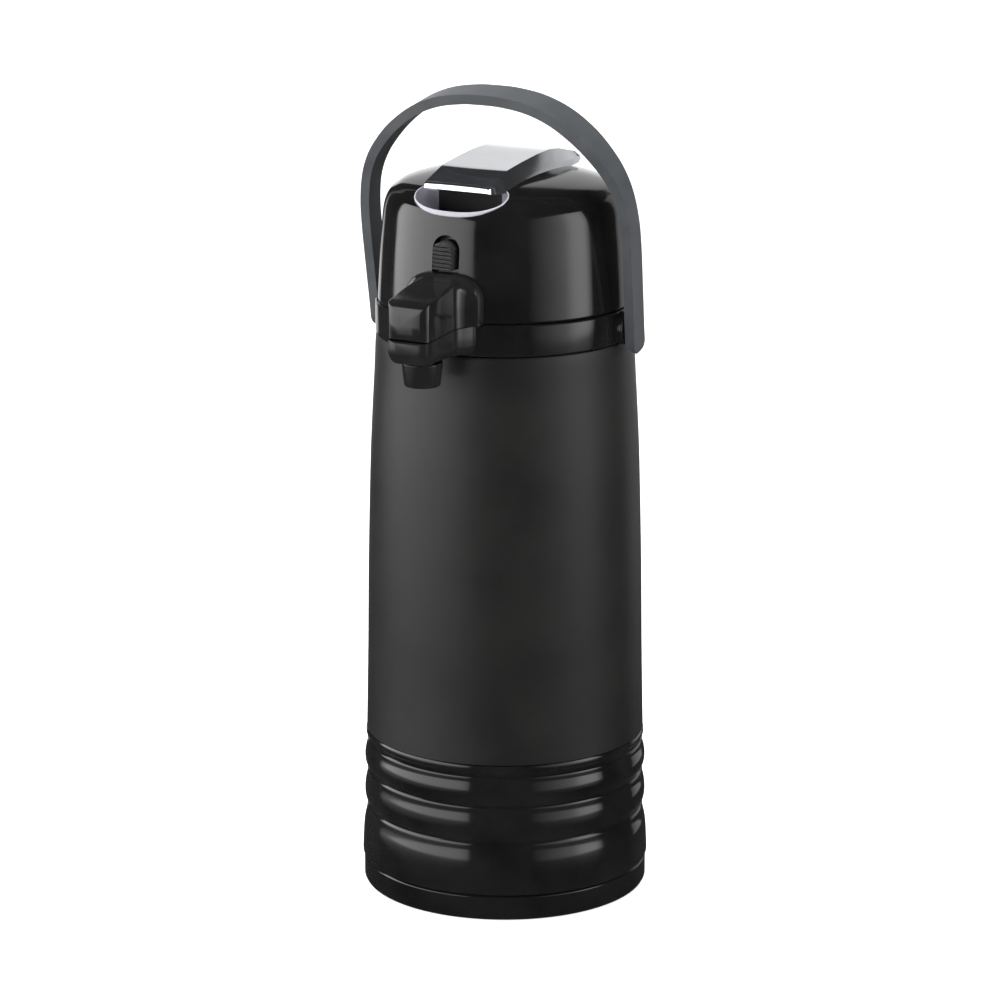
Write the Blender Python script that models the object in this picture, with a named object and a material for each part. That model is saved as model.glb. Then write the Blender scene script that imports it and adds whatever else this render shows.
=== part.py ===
"""Thermal coffee airpot: a swivel base, a glass-lined pot, a hinged pump lid with a lever, and a bail handle.

Metres, +Z up. The origin is on the pot's axis at the floor and the spout points along -Y.
"""

import math

import bmesh
import bpy
from mathutils import Matrix, Vector

MM = 0.001

# Turned parts
OUTER_SEGMENTS = 32
INNER_SEGMENTS = 16
SMALL_SEGMENTS = 14

# Heights of the main seams, in millimetres
BASE_TOP = 13.2
SKIRT_BOTTOM = 13.7
SKIRT_TOP = 79.9
SHELL_TOP = 283.0
COLLAR_TOP = 299.1
LID_BOTTOM = 299.5

# Hinges, in millimetres
LID_HINGE_Y = 66.0
LID_HINGE_Z = 299.3
LEVER_HINGE_Y = 41.5
LEVER_HINGE_Z = 364.8
LATCH_HINGE_Y = -51.5
LATCH_HINGE_Z = 342.5
HANDLE_HINGE_Z = 291.0

# Spout
SPOUT_HALF_WIDTH = 11.3
SPOUT_FRONT_Y = -100.0
NOZZLE_Y = -84.0
PIPE_Z = 294.6

# Handle
HANDLE_LEAN = math.radians(8.0)
HANDLE_THICKNESS = 5.0
LEG_WIDTH = 11.5
GRIP_WIDTH = 18.0

DOME_PROFILE = (
    (62.6, 299.5),
    (62.5, 303.0),
    (61.4, 324.0),
    (60.4, 336.0),
    (59.5, 345.0),
    (58.2, 350.0),
    (56.4, 353.4),
    (53.6, 355.8),
    (48.0, 358.9),
    (35.0, 362.0),
    (20.0, 363.5),
)


def clear_scene():
    for obj in list(bpy.data.objects):
        bpy.data.objects.remove(obj)


def make_material(name, color, roughness, metallic=0.0, alpha=1.0):
    material = bpy.data.materials.new(name)
    material.use_nodes = True
    shader = material.node_tree.nodes["Principled BSDF"]
    shader.inputs["Base Color"].default_value = (*color, 1.0)
    shader.inputs["Roughness"].default_value = roughness
    shader.inputs["Metallic"].default_value = metallic
    shader.inputs["Alpha"].default_value = alpha
    return material


def object_from(name, verts, faces, material=None, smooth=True):
    """One object from points in millimetres, with its faces turned outwards."""
    mesh = bpy.data.meshes.new(name)
    mesh.from_pydata([Vector(v) * MM for v in verts], [], faces)
    work = bmesh.new()
    work.from_mesh(mesh)
    bmesh.ops.recalc_face_normals(work, faces=work.faces)
    work.to_mesh(mesh)
    work.free()
    if material:
        mesh.materials.append(material)
    if smooth:
        mesh.shade_smooth()
        mesh.set_sharp_from_angle(angle=math.radians(32.0))
    obj = bpy.data.objects.new(name, mesh)
    bpy.context.scene.collection.objects.link(obj)
    return obj


def turned(name, profile, material=None, segments=INNER_SEGMENTS, center=(0.0, 0.0)):
    """A closed loop of (radius, height) turned about the vertical line through center."""
    verts = []
    rings = []
    for radius, height in profile:
        if radius == 0:
            rings.append([len(verts)])
            verts.append((center[0], center[1], height))
            continue
        rings.append(list(range(len(verts), len(verts) + segments)))
        for k in range(segments):
            angle = math.tau * k / segments
            verts.append(
                (
                    center[0] + radius * math.cos(angle),
                    center[1] + radius * math.sin(angle),
                    height,
                )
            )
    faces = []
    for i, ring in enumerate(rings):
        following = rings[(i + 1) % len(rings)]
        if len(ring) == 1 and len(following) == 1:
            continue
        for k in range(segments):
            n = (k + 1) % segments
            if len(ring) == 1:
                faces.append((ring[0], following[n], following[k]))
            elif len(following) == 1:
                faces.append((ring[k], ring[n], following[0]))
            else:
                faces.append((ring[k], ring[n], following[n], following[k]))
    return object_from(name, verts, faces, material)


def prism(name, outline, low, high, axis="Z", material=None):
    """An outline extruded from low to high. Axis X reads it as (y, z), Y as (x, z) and Z as (x, y)."""
    place = {
        "X": lambda a, b, t: (t, a, b),
        "Y": lambda a, b, t: (a, t, b),
        "Z": lambda a, b, t: (a, b, t),
    }[axis]
    count = len(outline)
    verts = [place(a, b, low) for a, b in outline] + [place(a, b, high) for a, b in outline]
    faces = [tuple(range(count)), tuple(range(2 * count - 1, count - 1, -1))]
    for k in range(count):
        n = (k + 1) % count
        faces.append((k, n, n + count, k + count))
    return object_from(name, verts, faces, material)


def circle(a, b, radius, steps=SMALL_SEGMENTS):
    return [
        (a + radius * math.cos(math.tau * k / steps), b + radius * math.sin(math.tau * k / steps))
        for k in range(steps)
    ]


def rectangle(a0, a1, b0, b1):
    return [(a0, b0), (a1, b0), (a1, b1), (a0, b1)]


def arched(half_width, bottom, spring, steps=8):
    """A rectangle on the line a = 0 with a half-round top that starts at height spring."""
    outline = [(-half_width, bottom), (half_width, bottom)]
    for k in range(steps + 1):
        angle = math.pi * k / steps
        outline.append((half_width * math.cos(angle), spring + half_width * math.sin(angle)))
    return outline


def boolean(obj, helper, operation):
    """Adds an exact Boolean with a hidden helper object."""
    helper.hide_render = True
    helper.display_type = "WIRE"
    modifier = obj.modifiers.new(operation.title() + " " + helper.name, "BOOLEAN")
    modifier.solver = "EXACT"
    modifier.operation = operation
    modifier.object = helper
    return obj


def cut(obj, helper):
    return boolean(obj, helper, "DIFFERENCE")


def join(obj, helper):
    return boolean(obj, helper, "UNION")


def set_pivot(obj, pivot_mm):
    """Moves the object's origin onto its joint axis and leaves its mesh where it is."""
    pivot = Vector(pivot_mm) * MM
    obj.data.transform(Matrix.Translation(-pivot))
    obj.location = pivot
    return obj


def lofted(name, sections, material=None):
    """Sections with the same number of points, joined in order, with both ends closed."""
    count = len(sections[0])
    verts = [point for section in sections for point in section]
    faces = [tuple(range(count)), tuple(range(len(verts) - 1, len(verts) - count - 1, -1))]
    for i in range(len(sections) - 1):
        for k in range(count):
            n = (k + 1) % count
            a, b = i * count, (i + 1) * count
            faces.append((a + k, a + n, b + n, b + k))
    return object_from(name, verts, faces, material)


def coil(name, radius, wire, bottom, top, turns, material, steps=14, sides=5):
    """A helical spring standing on the axis."""
    total = int(turns * steps)
    rise = (top - bottom - 2 * wire) / total
    sections = []
    for i in range(total + 1):
        angle = math.tau * i / steps
        height = bottom + wire + rise * i
        section = []
        for k in range(sides):
            side = math.tau * k / sides
            reach = radius + wire * math.cos(side)
            section.append(
                (
                    reach * math.cos(angle),
                    reach * math.sin(angle),
                    height + wire * math.sin(side),
                )
            )
        sections.append(section)
    return lofted(name, sections, material)


def build_materials():
    return {
        "gloss": make_material("gloss_black_plastic", (0.012, 0.012, 0.013), 0.12),
        "matte": make_material("matte_black_shell", (0.02, 0.02, 0.02), 0.55),
        "grip": make_material("satin_black_grip", (0.03, 0.03, 0.03), 0.4),
        "chrome": make_material("chrome_plate", (0.75, 0.77, 0.8), 0.08, 1.0),
        "steel": make_material("spring_steel", (0.6, 0.6, 0.62), 0.25, 1.0),
        "glass": make_material("silvered_glass", (0.75, 0.8, 0.82), 0.05, 0.0, 0.5),
        "rubber": make_material("grey_silicone", (0.35, 0.35, 0.36), 0.7),
        "dark_rubber": make_material("black_rubber", (0.03, 0.03, 0.03), 0.8),
        "white": make_material("white_plastic", (0.8, 0.8, 0.78), 0.45),
    }


def build_base(mats):
    """The swivel base that stands on the counter."""
    ring = turned(
        "base_ring",
        (
            (0.0, 7.0), (1.8, 7.0), (1.8, 17.8), (9.0, 17.8), (9.0, 5.4), (67.4, 5.4),
            (67.4, BASE_TOP), (70.2, BASE_TOP), (71.3, 11.2), (71.0, 3.0), (70.2, 1.3),
            (68.4, 0.5), (64.7, 0.5), (64.7, 2.7), (0.0, 2.7),
        ),
        mats["gloss"],
        OUTER_SEGMENTS,
    )
    turned(
        "base_pad",
        ((0.0, 0.0), (63.6, 0.0), (64.3, 0.7), (64.3, 2.3), (0.0, 2.3)),
        mats["dark_rubber"],
        OUTER_SEGMENTS,
    )
    turned(
        "glide_ring",
        ((52.0, 5.7), (58.0, 5.7), (58.0, 13.2), (52.0, 13.2)),
        mats["white"],
    )
    turned(
        "swivel_washer",
        ((1.9, 18.1), (12.0, 18.1), (12.0, 19.2), (1.9, 19.2)),
        mats["steel"],
    )
    turned(
        "swivel_screw",
        (
            (0.0, 8.0), (1.5, 8.0), (1.5, 19.5), (4.0, 19.5), (4.0, 21.2), (3.2, 22.0),
            (0.0, 22.0),
        ),
        mats["steel"],
        SMALL_SEGMENTS,
    )
    return ring


def build_body(mats):
    """The skirt, shell, liner and everything fixed to them below the collar."""
    turned(
        "base_skirt",
        (
            (69.6, SKIRT_TOP), (69.9, 78.6), (69.9, 77.0), (68.8, 75.6), (68.8, 73.9),
            (70.1, 70.8), (70.6, 66.0), (70.2, 61.2), (69.0, 59.4), (69.0, 57.2),
            (70.2, 54.0), (70.8, 46.5), (70.5, 42.2), (69.2, 40.4), (69.2, 37.8),
            (70.4, 34.0), (71.4, 28.0), (71.9, 21.0), (72.0, 15.2), (71.6, SKIRT_BOTTOM),
            (66.4, SKIRT_BOTTOM), (66.4, SKIRT_TOP),
        ),
        mats["gloss"],
        OUTER_SEGMENTS,
    )
    turned(
        "bottom_plate",
        ((9.4, 13.7), (66.0, 13.7), (66.0, 17.4), (9.4, 17.4)),
        mats["gloss"],
        OUTER_SEGMENTS,
    )
    turned(
        "liner_cushion",
        (
            (30.0, 17.8), (52.0, 17.8), (52.0, 35.2), (50.0, 35.2), (45.0, 31.7), (30.0, 28.0),
        ),
        mats["rubber"],
    )
    turned(
        "body_shell",
        (
            (69.6, 80.3), (69.3, 93.0), (68.7, 124.0), (68.1, 166.0), (67.1, 207.0),
            (66.4, 228.0), (65.4, 248.0), (64.4, 266.0), (63.9, 280.0), (63.3, SHELL_TOP),
            (62.3, SHELL_TOP), (62.6, 279.0), (63.2, 266.0), (64.2, 248.0), (65.9, 207.0),
            (67.3, 145.0), (67.8, 103.0), (67.9, 86.0), (64.9, 83.0), (64.9, 74.0),
            (66.1, 74.0), (66.1, 80.3),
        ),
        mats["matte"],
        OUTER_SEGMENTS,
    )
    turned(
        "vacuum_liner",
        (
            (1.2, 24.6), (2.6, 24.9), (4.5, 28.0), (30.0, 28.4), (45.0, 32.2), (54.0, 38.5),
            (59.5, 48.0), (61.0, 60.0), (61.0, 228.0), (58.5, 240.0), (50.0, 250.0),
            (38.0, 256.0), (30.5, 260.0), (29.0, 266.0), (29.0, 273.5), (28.2, 274.4),
            (26.4, 274.4), (25.6, 273.5), (25.6, 259.2), (35.6, 250.0), (47.2, 244.0),
            (52.8, 235.6), (54.8, 225.6), (54.8, 62.0), (53.5, 50.5), (49.0, 42.5),
            (42.0, 37.6), (30.0, 35.0), (0.0, 34.6), (0.0, 33.0), (30.0, 33.4),
            (42.7, 36.1), (50.2, 41.4), (54.9, 49.8), (56.4, 62.0), (56.4, 226.0),
            (54.3, 236.4), (48.2, 245.4), (36.4, 251.4), (26.7, 259.8), (26.7, 271.5),
            (27.9, 271.5), (27.9, 265.5), (29.5, 259.0), (37.4, 254.5), (49.0, 248.6),
            (57.2, 239.0), (59.4, 227.8), (59.4, 60.2), (58.0, 48.7), (53.0, 39.9),
            (44.4, 33.8), (30.0, 30.0), (1.2, 29.6),
        ),
        mats["glass"],
    )
    turned(
        "neck_gasket",
        ((30.4, 261.2), (34.0, 261.2), (34.0, 268.5), (30.4, 268.5)),
        mats["rubber"],
    )


def build_collar(mats):
    """The glossy band with the pouring mouth, the handle ears and the rear hinge knuckles."""
    collar = turned(
        "collar",
        (
            (63.2, 283.5), (63.8, 284.6), (63.8, 298.3), (63.2, COLLAR_TOP), (59.0, COLLAR_TOP),
            (59.0, 282.0), (34.0, 279.0), (27.0, 277.6), (27.0, 275.0), (34.4, 275.0),
            (34.4, 264.0), (36.6, 264.0), (36.6, 276.4), (59.0, 279.2), (59.6, 274.0),
            (61.6, 274.0), (61.6, 283.5),
        ),
        mats["gloss"],
        OUTER_SEGMENTS,
    )
    for side, sign in (("left", -1), ("right", 1)):
        low, high = sorted((sign * 60.6, sign * 67.8))
        ear = prism(f"{side}_ear_shape", circle(0.0, HANDLE_HINGE_Z, 8.0), low, high, "X")
        join(collar, ear)
    for side, sign in (("left", -1), ("right", 1)):
        low, high = sorted((sign * 60.0, sign * 75.0))
        cut(collar, prism(f"{side}_pin_bore", circle(0.0, HANDLE_HINGE_Z, 2.8), low, high, "X"))
    for side, sign in (("left", -1), ("right", 1)):
        low, high = sorted((sign * 14.6, sign * 24.0))
        web = [(57.5, 289.0), (LID_HINGE_Y, 294.0), (LID_HINGE_Y, 298.8), (57.5, 298.8)]
        join(collar, prism(f"{side}_knuckle_web", web, low, high, "X"))
        knuckle = circle(LID_HINGE_Y, LID_HINGE_Z, 3.4)
        join(collar, prism(f"{side}_knuckle_eye", knuckle, low - 0.1, high + 0.1, "X"))
    notch = circle(LID_HINGE_Y, LID_HINGE_Z, 4.4)
    cut(collar, prism("lid_knuckle_notch", notch, -14.4, 14.4, "X"))
    bore = circle(LID_HINGE_Y, LID_HINGE_Z, 1.8)
    cut(collar, prism("collar_hinge_bore", bore, -30.0, 30.0, "X"))
    cut(collar, prism("outlet_hole", circle(0.0, PIPE_Z, 3.8), -70.0, -50.0, "Y"))
    for side, sign in (("left", -1), ("right", 1)):
        low, high = sorted((sign * 7.0, sign * 13.0))
        window = rectangle(-61.5, -50.0, 289.0, 295.0)
        cut(collar, prism(f"{side}_catch_window", window, low, high, "X"))
    prism(
        "lid_hinge_pin",
        circle(LID_HINGE_Y, LID_HINGE_Z, 1.5, 12),
        -25.0,
        25.0,
        "X",
        mats["steel"],
    )


def build_flow_path(mats):
    """The stopper, the rising tube, the outlet elbow, the spout's lower half and its nozzle."""
    stopper = turned(
        "stopper",
        (
            (4.5, 250.0), (22.4, 250.0), (22.4, 276.0), (26.0, 278.6), (34.0, 280.3),
            (56.0, 283.0), (56.0, 287.5), (54.5, 289.0), (4.5, 289.0),
        ),
        mats["white"],
    )
    cut(stopper, prism("air_hole", circle(0.0, 15.0, 2.5, 12), 240.0, 300.0))
    turned(
        "stopper_gasket",
        ((22.7, 264.0), (25.3, 265.0), (25.3, 269.0), (22.7, 270.0)),
        mats["rubber"],
    )
    turned(
        "dip_tube",
        ((2.7, 38.0), (4.1, 38.0), (4.1, 288.8), (2.7, 288.8)),
        mats["white"],
        SMALL_SEGMENTS,
    )
    turned(
        "tube_nut",
        ((4.5, 243.5), (8.0, 243.5), (8.0, 249.6), (4.5, 249.6)),
        mats["white"],
        SMALL_SEGMENTS,
    )
    elbow = prism("outlet_elbow", circle(0.0, 0.0, 4.2), 289.4, 294.6, "Z", mats["white"])
    flange = prism("elbow_flange", circle(0.0, 0.0, 9.0), 289.3, 290.8)
    run = prism("elbow_run", circle(0.0, PIPE_Z, 3.3), NOZZLE_Y, 0.0, "Y")
    cap = turned(
        "elbow_cap",
        ((0.0, 291.3), (2.3, 292.3), (4.2, 294.6), (2.9, 296.9), (0.0, 297.9)),
        segments=SMALL_SEGMENTS,
    )
    drop = turned(
        "elbow_drop",
        ((0.0, 286.6), (3.3, 286.6), (3.35, 294.6), (2.3, 296.9), (0.0, 297.9)),
        segments=SMALL_SEGMENTS,
        center=(0.0, NOZZLE_Y),
    )
    for piece in (flange, run, cap, drop):
        join(elbow, piece)
    cut(elbow, prism("riser_bore", circle(0.0, 0.0, 2.2, 12), 280.0, 294.6))
    cut(elbow, prism("run_bore", circle(0.0, PIPE_Z, 2.1, 12), NOZZLE_Y, 0.8, "Y"))
    cut(elbow, prism("drop_bore", circle(0.0, NOZZLE_Y, 2.15, 12), 280.0, 294.6))
    turned(
        "air_valve",
        ((0.0, 289.3), (6.5, 289.3), (6.5, 290.1), (2.0, 290.9), (0.0, 290.9)),
        mats["rubber"],
        SMALL_SEGMENTS,
        center=(0.0, 17.0),
    )
    outline = [
        (-17.5, -58.0), (-16.5, -64.5), (-SPOUT_HALF_WIDTH, -72.0), (-SPOUT_HALF_WIDTH, -96.5),
        (-8.0, SPOUT_FRONT_Y), (8.0, SPOUT_FRONT_Y), (SPOUT_HALF_WIDTH, -96.5),
        (SPOUT_HALF_WIDTH, -72.0), (16.5, -64.5), (17.5, -58.0),
    ]
    lower = prism("spout_lower", outline, 284.6, 298.9, "Z", mats["gloss"])
    belly = [
        (-9.0, 283.6), (9.0, 283.6), (30.0, 293.0), (30.0, 280.0), (-30.0, 280.0), (-30.0, 293.0),
    ]
    cut(lower, prism("spout_belly_trim", belly, -101.0, -50.0, "Y"))
    parting = [(-66.0, 298.7), (-101.0, 296.33), (-101.0, 300.0), (-66.0, 300.0)]
    cut(lower, prism("spout_parting", parting, -20.0, 20.0, "X"))
    cut(
        lower,
        turned("spout_seat", ((0.0, 270.0), (64.2, 270.0), (64.2, 310.0), (0.0, 310.0)),
               segments=OUTER_SEGMENTS),
    )
    cut(lower, prism("spout_trough", rectangle(-4.4, 4.4, -90.5, -50.0), 290.6, 305.0))
    cut(lower, prism("nozzle_socket", circle(0.0, NOZZLE_Y, 5.3), 280.0, 292.0))
    turned(
        "nozzle",
        (
            (3.8, 272.5), (8.4, 272.5), (8.8, 273.2), (9.9, 284.2), (4.9, 284.2), (4.9, 290.2),
            (3.8, 290.2),
        ),
        mats["gloss"],
        SMALL_SEGMENTS,
        center=(0.0, NOZZLE_Y),
    )


def dome_solid(name, top, offset):
    """The lid's outer surface as a solid, moved outwards by offset and closed at height top."""
    profile = [(0.0, 290.0), (DOME_PROFILE[0][0] + offset, 290.0)]
    profile += [(r + offset, z + offset * 0.5) for r, z in DOME_PROFILE]
    profile += [(9.6, 364.1 + offset), (0.0, top)]
    return turned(name, profile, segments=OUTER_SEGMENTS)


def build_lid(mats):
    """The dome with its hinge knuckle, spout cover, finger recess and pump seat."""
    inner = [
        (20.0, 361.0), (35.0, 359.5), (46.8, 356.5), (52.4, 353.2), (55.0, 350.4),
        (57.1, 344.6), (58.0, 336.0), (59.1, 324.0), (60.2, 303.0), (60.2, LID_BOTTOM),
    ]
    cover = turned(
        "lid_cover",
        [*DOME_PROFILE, (9.6, 364.1), (9.6, 361.5), *inner],
        mats["gloss"],
        OUTER_SEGMENTS,
    )
    web = [(60.5, LID_BOTTOM), (LID_HINGE_Y + 2.0, LID_BOTTOM), (LID_HINGE_Y, 302.4), (60.5, 305.0)]
    join(cover, prism("lid_knuckle_web", web, -14.0, 14.0, "X"))
    knuckle = circle(LID_HINGE_Y, LID_HINGE_Z, 3.4)
    join(cover, prism("lid_knuckle_eye", knuckle, -14.1, 14.1, "X"))
    lug = [
        (38.4, 360.4), (43.0, 359.4), (43.3, 363.8), (43.1, 365.4), (42.0, 366.4),
        (40.8, 366.4), (39.7, 365.4), (39.5, 363.8),
    ]
    block = [(-59.3, 339.0), (-49.3, 339.0), (-49.3, 346.0), (-58.4, 346.0)]
    for side, sign in (("left", -1), ("right", 1)):
        low, high = sorted((sign * 9.0, sign * 12.5))
        join(cover, prism(f"{side}_lever_lug", lug, low, high, "X"))
        low, high = sorted((sign * 6.6, sign * 9.6))
        join(cover, prism(f"{side}_latch_block", block, low, high, "X"))
    cut(
        cover,
        prism("lid_hinge_bore", circle(LID_HINGE_Y, LID_HINGE_Z, 1.8), -20.0, 20.0, "X"),
    )
    cut(
        cover,
        prism("lever_lug_bore", circle(LEVER_HINGE_Y, LEVER_HINGE_Z, 1.3, 12), -14.0, 14.0, "X"),
    )
    cut(
        cover,
        prism("latch_bore", circle(LATCH_HINGE_Y, LATCH_HINGE_Z, 1.5, 12), -12.0, 12.0, "X"),
    )
    cut(cover, prism("latch_slot", arched(7.3, 317.0, 333.7), -66.0, -54.5, "Y"))
    recess = [(-24.0, -70.0), (24.0, -70.0), (24.0, -36.0), (18.0, -30.0), (-18.0, -30.0), (-24.0, -36.0)]
    cut(cover, prism("recess_hole", recess, 350.5, 380.0))

    tub_outline = [
        (-23.6, -70.0), (23.6, -70.0), (23.6, -36.2), (17.8, -30.4), (-17.8, -30.4), (-23.6, -36.2),
    ]
    tub = prism("finger_recess", tub_outline, 350.8, 372.0, "Z", mats["gloss"])
    boolean(tub, dome_solid("recess_trim", 364.0, 0.0), "INTERSECT")
    scoop = [
        (-22.2, -75.0), (22.2, -75.0), (22.2, -36.8), (17.2, -31.8), (-17.2, -31.8), (-22.2, -36.8),
    ]
    cut(tub, prism("recess_scoop", scoop, 352.4, 380.0))

    plate = turned(
        "lid_base",
        ((0.0, LID_BOTTOM), (59.8, LID_BOTTOM), (59.8, 302.4), (0.0, 302.4)),
        mats["white"],
        OUTER_SEGMENTS,
    )
    cut(plate, prism("latch_passage", rectangle(-14.0, 14.0, -70.0, -45.0), 290.0, 310.0))
    cut(plate, prism("air_outlet", circle(0.0, 17.0, 3.0, 12), 290.0, 310.0))
    turned(
        "air_boot",
        ((8.0, 291.2), (10.0, 291.2), (12.0, 299.1), (9.0, 299.1)),
        mats["rubber"],
        center=(0.0, 17.0),
    )

    side_profile = [
        (-56.0, 299.4), (-66.0, 299.2), (SPOUT_FRONT_Y, 296.9), (SPOUT_FRONT_Y, 312.6), (-97.6, 315.2),
        (-70.0, 320.4), (-62.0, 322.6), (-56.0, 323.0),
    ]
    spout = prism(
        "spout_cover", side_profile, -SPOUT_HALF_WIDTH, SPOUT_HALF_WIDTH, "X", mats["gloss"]
    )
    boss = [(-20.0, 299.4), (20.0, 299.4), (20.0, 311.0), (17.5, 317.5), (12.0, 322.0), (6.0, 323.2)]
    boss += [(-6.0, 323.2), (-12.0, 322.0), (-17.5, 317.5), (-20.0, 311.0)]
    join(spout, prism("spout_boss", boss, -66.5, -52.0, "Y"))
    cut(spout, dome_solid("spout_cover_seat", 364.2, 0.35))
    hollow = rectangle(-8.6, 8.6, -97.0, -68.5)
    cut(spout, prism("spout_hollow", hollow, 290.0, 311.0))

    prism(
        "lever_pin",
        circle(LEVER_HINGE_Y, LEVER_HINGE_Z, 1.0, 12),
        -18.4,
        18.4,
        "X",
        mats["steel"],
    )
    prism(
        "latch_pin",
        circle(LATCH_HINGE_Y, LATCH_HINGE_Z, 1.2, 12),
        -9.4,
        9.4,
        "X",
        mats["steel"],
    )


def build_pump(mats):
    """The plunger, its return spring and the rubber bellows, at rest with the lever closed."""
    plunger = turned(
        "plunger",
        (
            (0.0, 336.4), (28.0, 336.4), (28.0, 340.0), (11.0, 342.0), (8.6, 344.0),
            (8.6, 366.4), (7.0, 368.2), (0.0, 368.8),
        ),
        mats["white"],
    )
    set_pivot(plunger, (0.0, 0.0, 340.0))
    outer = []
    inner = []
    folds = 5
    pitch = (336.0 - 302.8) / folds
    for k in range(folds):
        low = 302.8 + pitch * k
        outer += [(23.2, low + 0.4), (29.0, low + pitch * 0.5)]
        inner += [(21.8, low + 0.4), (27.6, low + pitch * 0.5)]
    outer = [(23.2, 302.8), *outer, (23.2, 336.0)]
    inner = [(21.8, 302.8), *inner, (21.8, 336.0)]
    turned("bellows", outer + inner[::-1], mats["dark_rubber"])
    coil("return_spring", 17.0, 0.9, 302.8, 336.0, 4.5, mats["steel"])


def lever_section(y, half_bottom, half_top, bottom, top, chamfer):
    """One cross-section of the lever's outer skin, open downwards when hollowed."""
    return [
        (-half_bottom, y, bottom),
        (-half_top, y, top - chamfer),
        (-half_top + chamfer, y, top),
        (half_top - chamfer, y, top),
        (half_top, y, top - chamfer),
        (half_bottom, y, bottom),
    ]


def build_lever(mats):
    """The chromed pump lever, closed over the dome."""
    stations = (
        (-50.0, 17.0, 16.6, 359.8, 364.0, 1.0),
        (-47.0, 18.4, 17.4, 359.7, 364.6, 1.2),
        (-38.0, 21.4, 17.6, 359.6, 366.4, 1.4),
        (-30.0, 21.8, 17.6, 360.6, 369.1, 1.6),
        (-16.0, 21.4, 17.6, 362.0, 371.0, 1.6),
        (-4.0, 21.0, 17.6, 362.8, 372.0, 1.6),
        (10.0, 20.6, 17.6, 362.8, 372.6, 1.6),
        (22.0, 20.2, 17.6, 362.2, 371.8, 1.6),
        (33.0, 19.8, 17.6, 361.4, 369.4, 1.6),
        (41.5, 19.4, 17.4, 361.8, 368.4, 1.4),
        (44.2, 18.8, 16.8, 363.8, 367.6, 1.0),
        (45.2, 18.2, 16.2, 364.3, 366.2, 0.8),
    )
    wall = 1.7
    lever = lofted("lever", [lever_section(*station) for station in stations], mats["chrome"])
    hollow = []
    inside = (*stations[1:-2], (43.8, 18.9, 17.0, 363.8, 368.0, 1.0))
    for y, half_bottom, half_top, bottom, top, chamfer in inside:
        hollow.append(
            [
                (-(half_bottom - wall), y, bottom - 6.0),
                (-(half_top - wall), y, top - chamfer - wall),
                (-(half_top - wall - chamfer), y, top - wall),
                (half_top - wall - chamfer, y, top - wall),
                (half_top - wall, y, top - chamfer - wall),
                (half_bottom - wall, y, bottom - 6.0),
            ]
        )
    cut(lever, lofted("lever_hollow", hollow))
    cut(lever, dome_solid("lever_dome_clearance", 364.6, 0.4))
    bore = circle(LEVER_HINGE_Y, LEVER_HINGE_Z, 1.3, 12)
    cut(lever, prism("lever_bore", bore, -25.0, 25.0, "X"))
    set_pivot(lever, (0.0, LEVER_HINGE_Y, LEVER_HINGE_Z))


def build_latch(mats):
    """The ribbed press button with its two hooked arms, hung from the latch pin."""
    plate = [(-58.0, 320.0), (-54.6, 320.0), (-50.4, 337.0), (-49.4, 342.5), (-51.5, 345.0)]
    plate += [(-53.9, 342.5), (-55.2, 337.0)]
    latch = prism("latch_button", plate, -5.9, 5.9, "X", mats["gloss"])
    ribs = []
    height = 324.6
    for _ in range(7):
        ribs += [(-64.2, height), (-65.0, height + 0.4), (-65.0, height + 1.2), (-64.2, height + 1.6)]
        height += 1.95
    profile = [(-56.0, 324.6), *ribs, (-62.6, 338.4), (-55.4, 338.4)]
    join(latch, prism("button_face", profile, -4.9, 4.9, "X"))
    arm_bar = [(-57.0, 318.0), (-54.2, 318.0), (-53.8, 322.5), (-56.6, 322.5)]
    join(latch, prism("arm_bar", arm_bar, -12.6, 12.6, "X"))
    arm = [
        (-56.9, 318.4), (-56.9, 299.0), (-56.7, 294.4), (-59.6, 294.0), (-59.4, 292.8),
        (-56.7, 290.2), (-54.9, 290.2), (-54.3, 299.0), (-54.1, 318.4),
    ]
    for side, sign in (("left", -1), ("right", 1)):
        low, high = sorted((sign * 8.0, sign * 12.2))
        join(latch, prism(f"{side}_hook_arm", arm, low, high, "X"))
    bore = circle(LATCH_HINGE_Y, LATCH_HINGE_Z, 1.5, 12)
    cut(latch, prism("latch_button_bore", bore, -12.0, 12.0, "X"))
    set_pivot(latch, (0.0, LATCH_HINGE_Y, LATCH_HINGE_Z))


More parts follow.
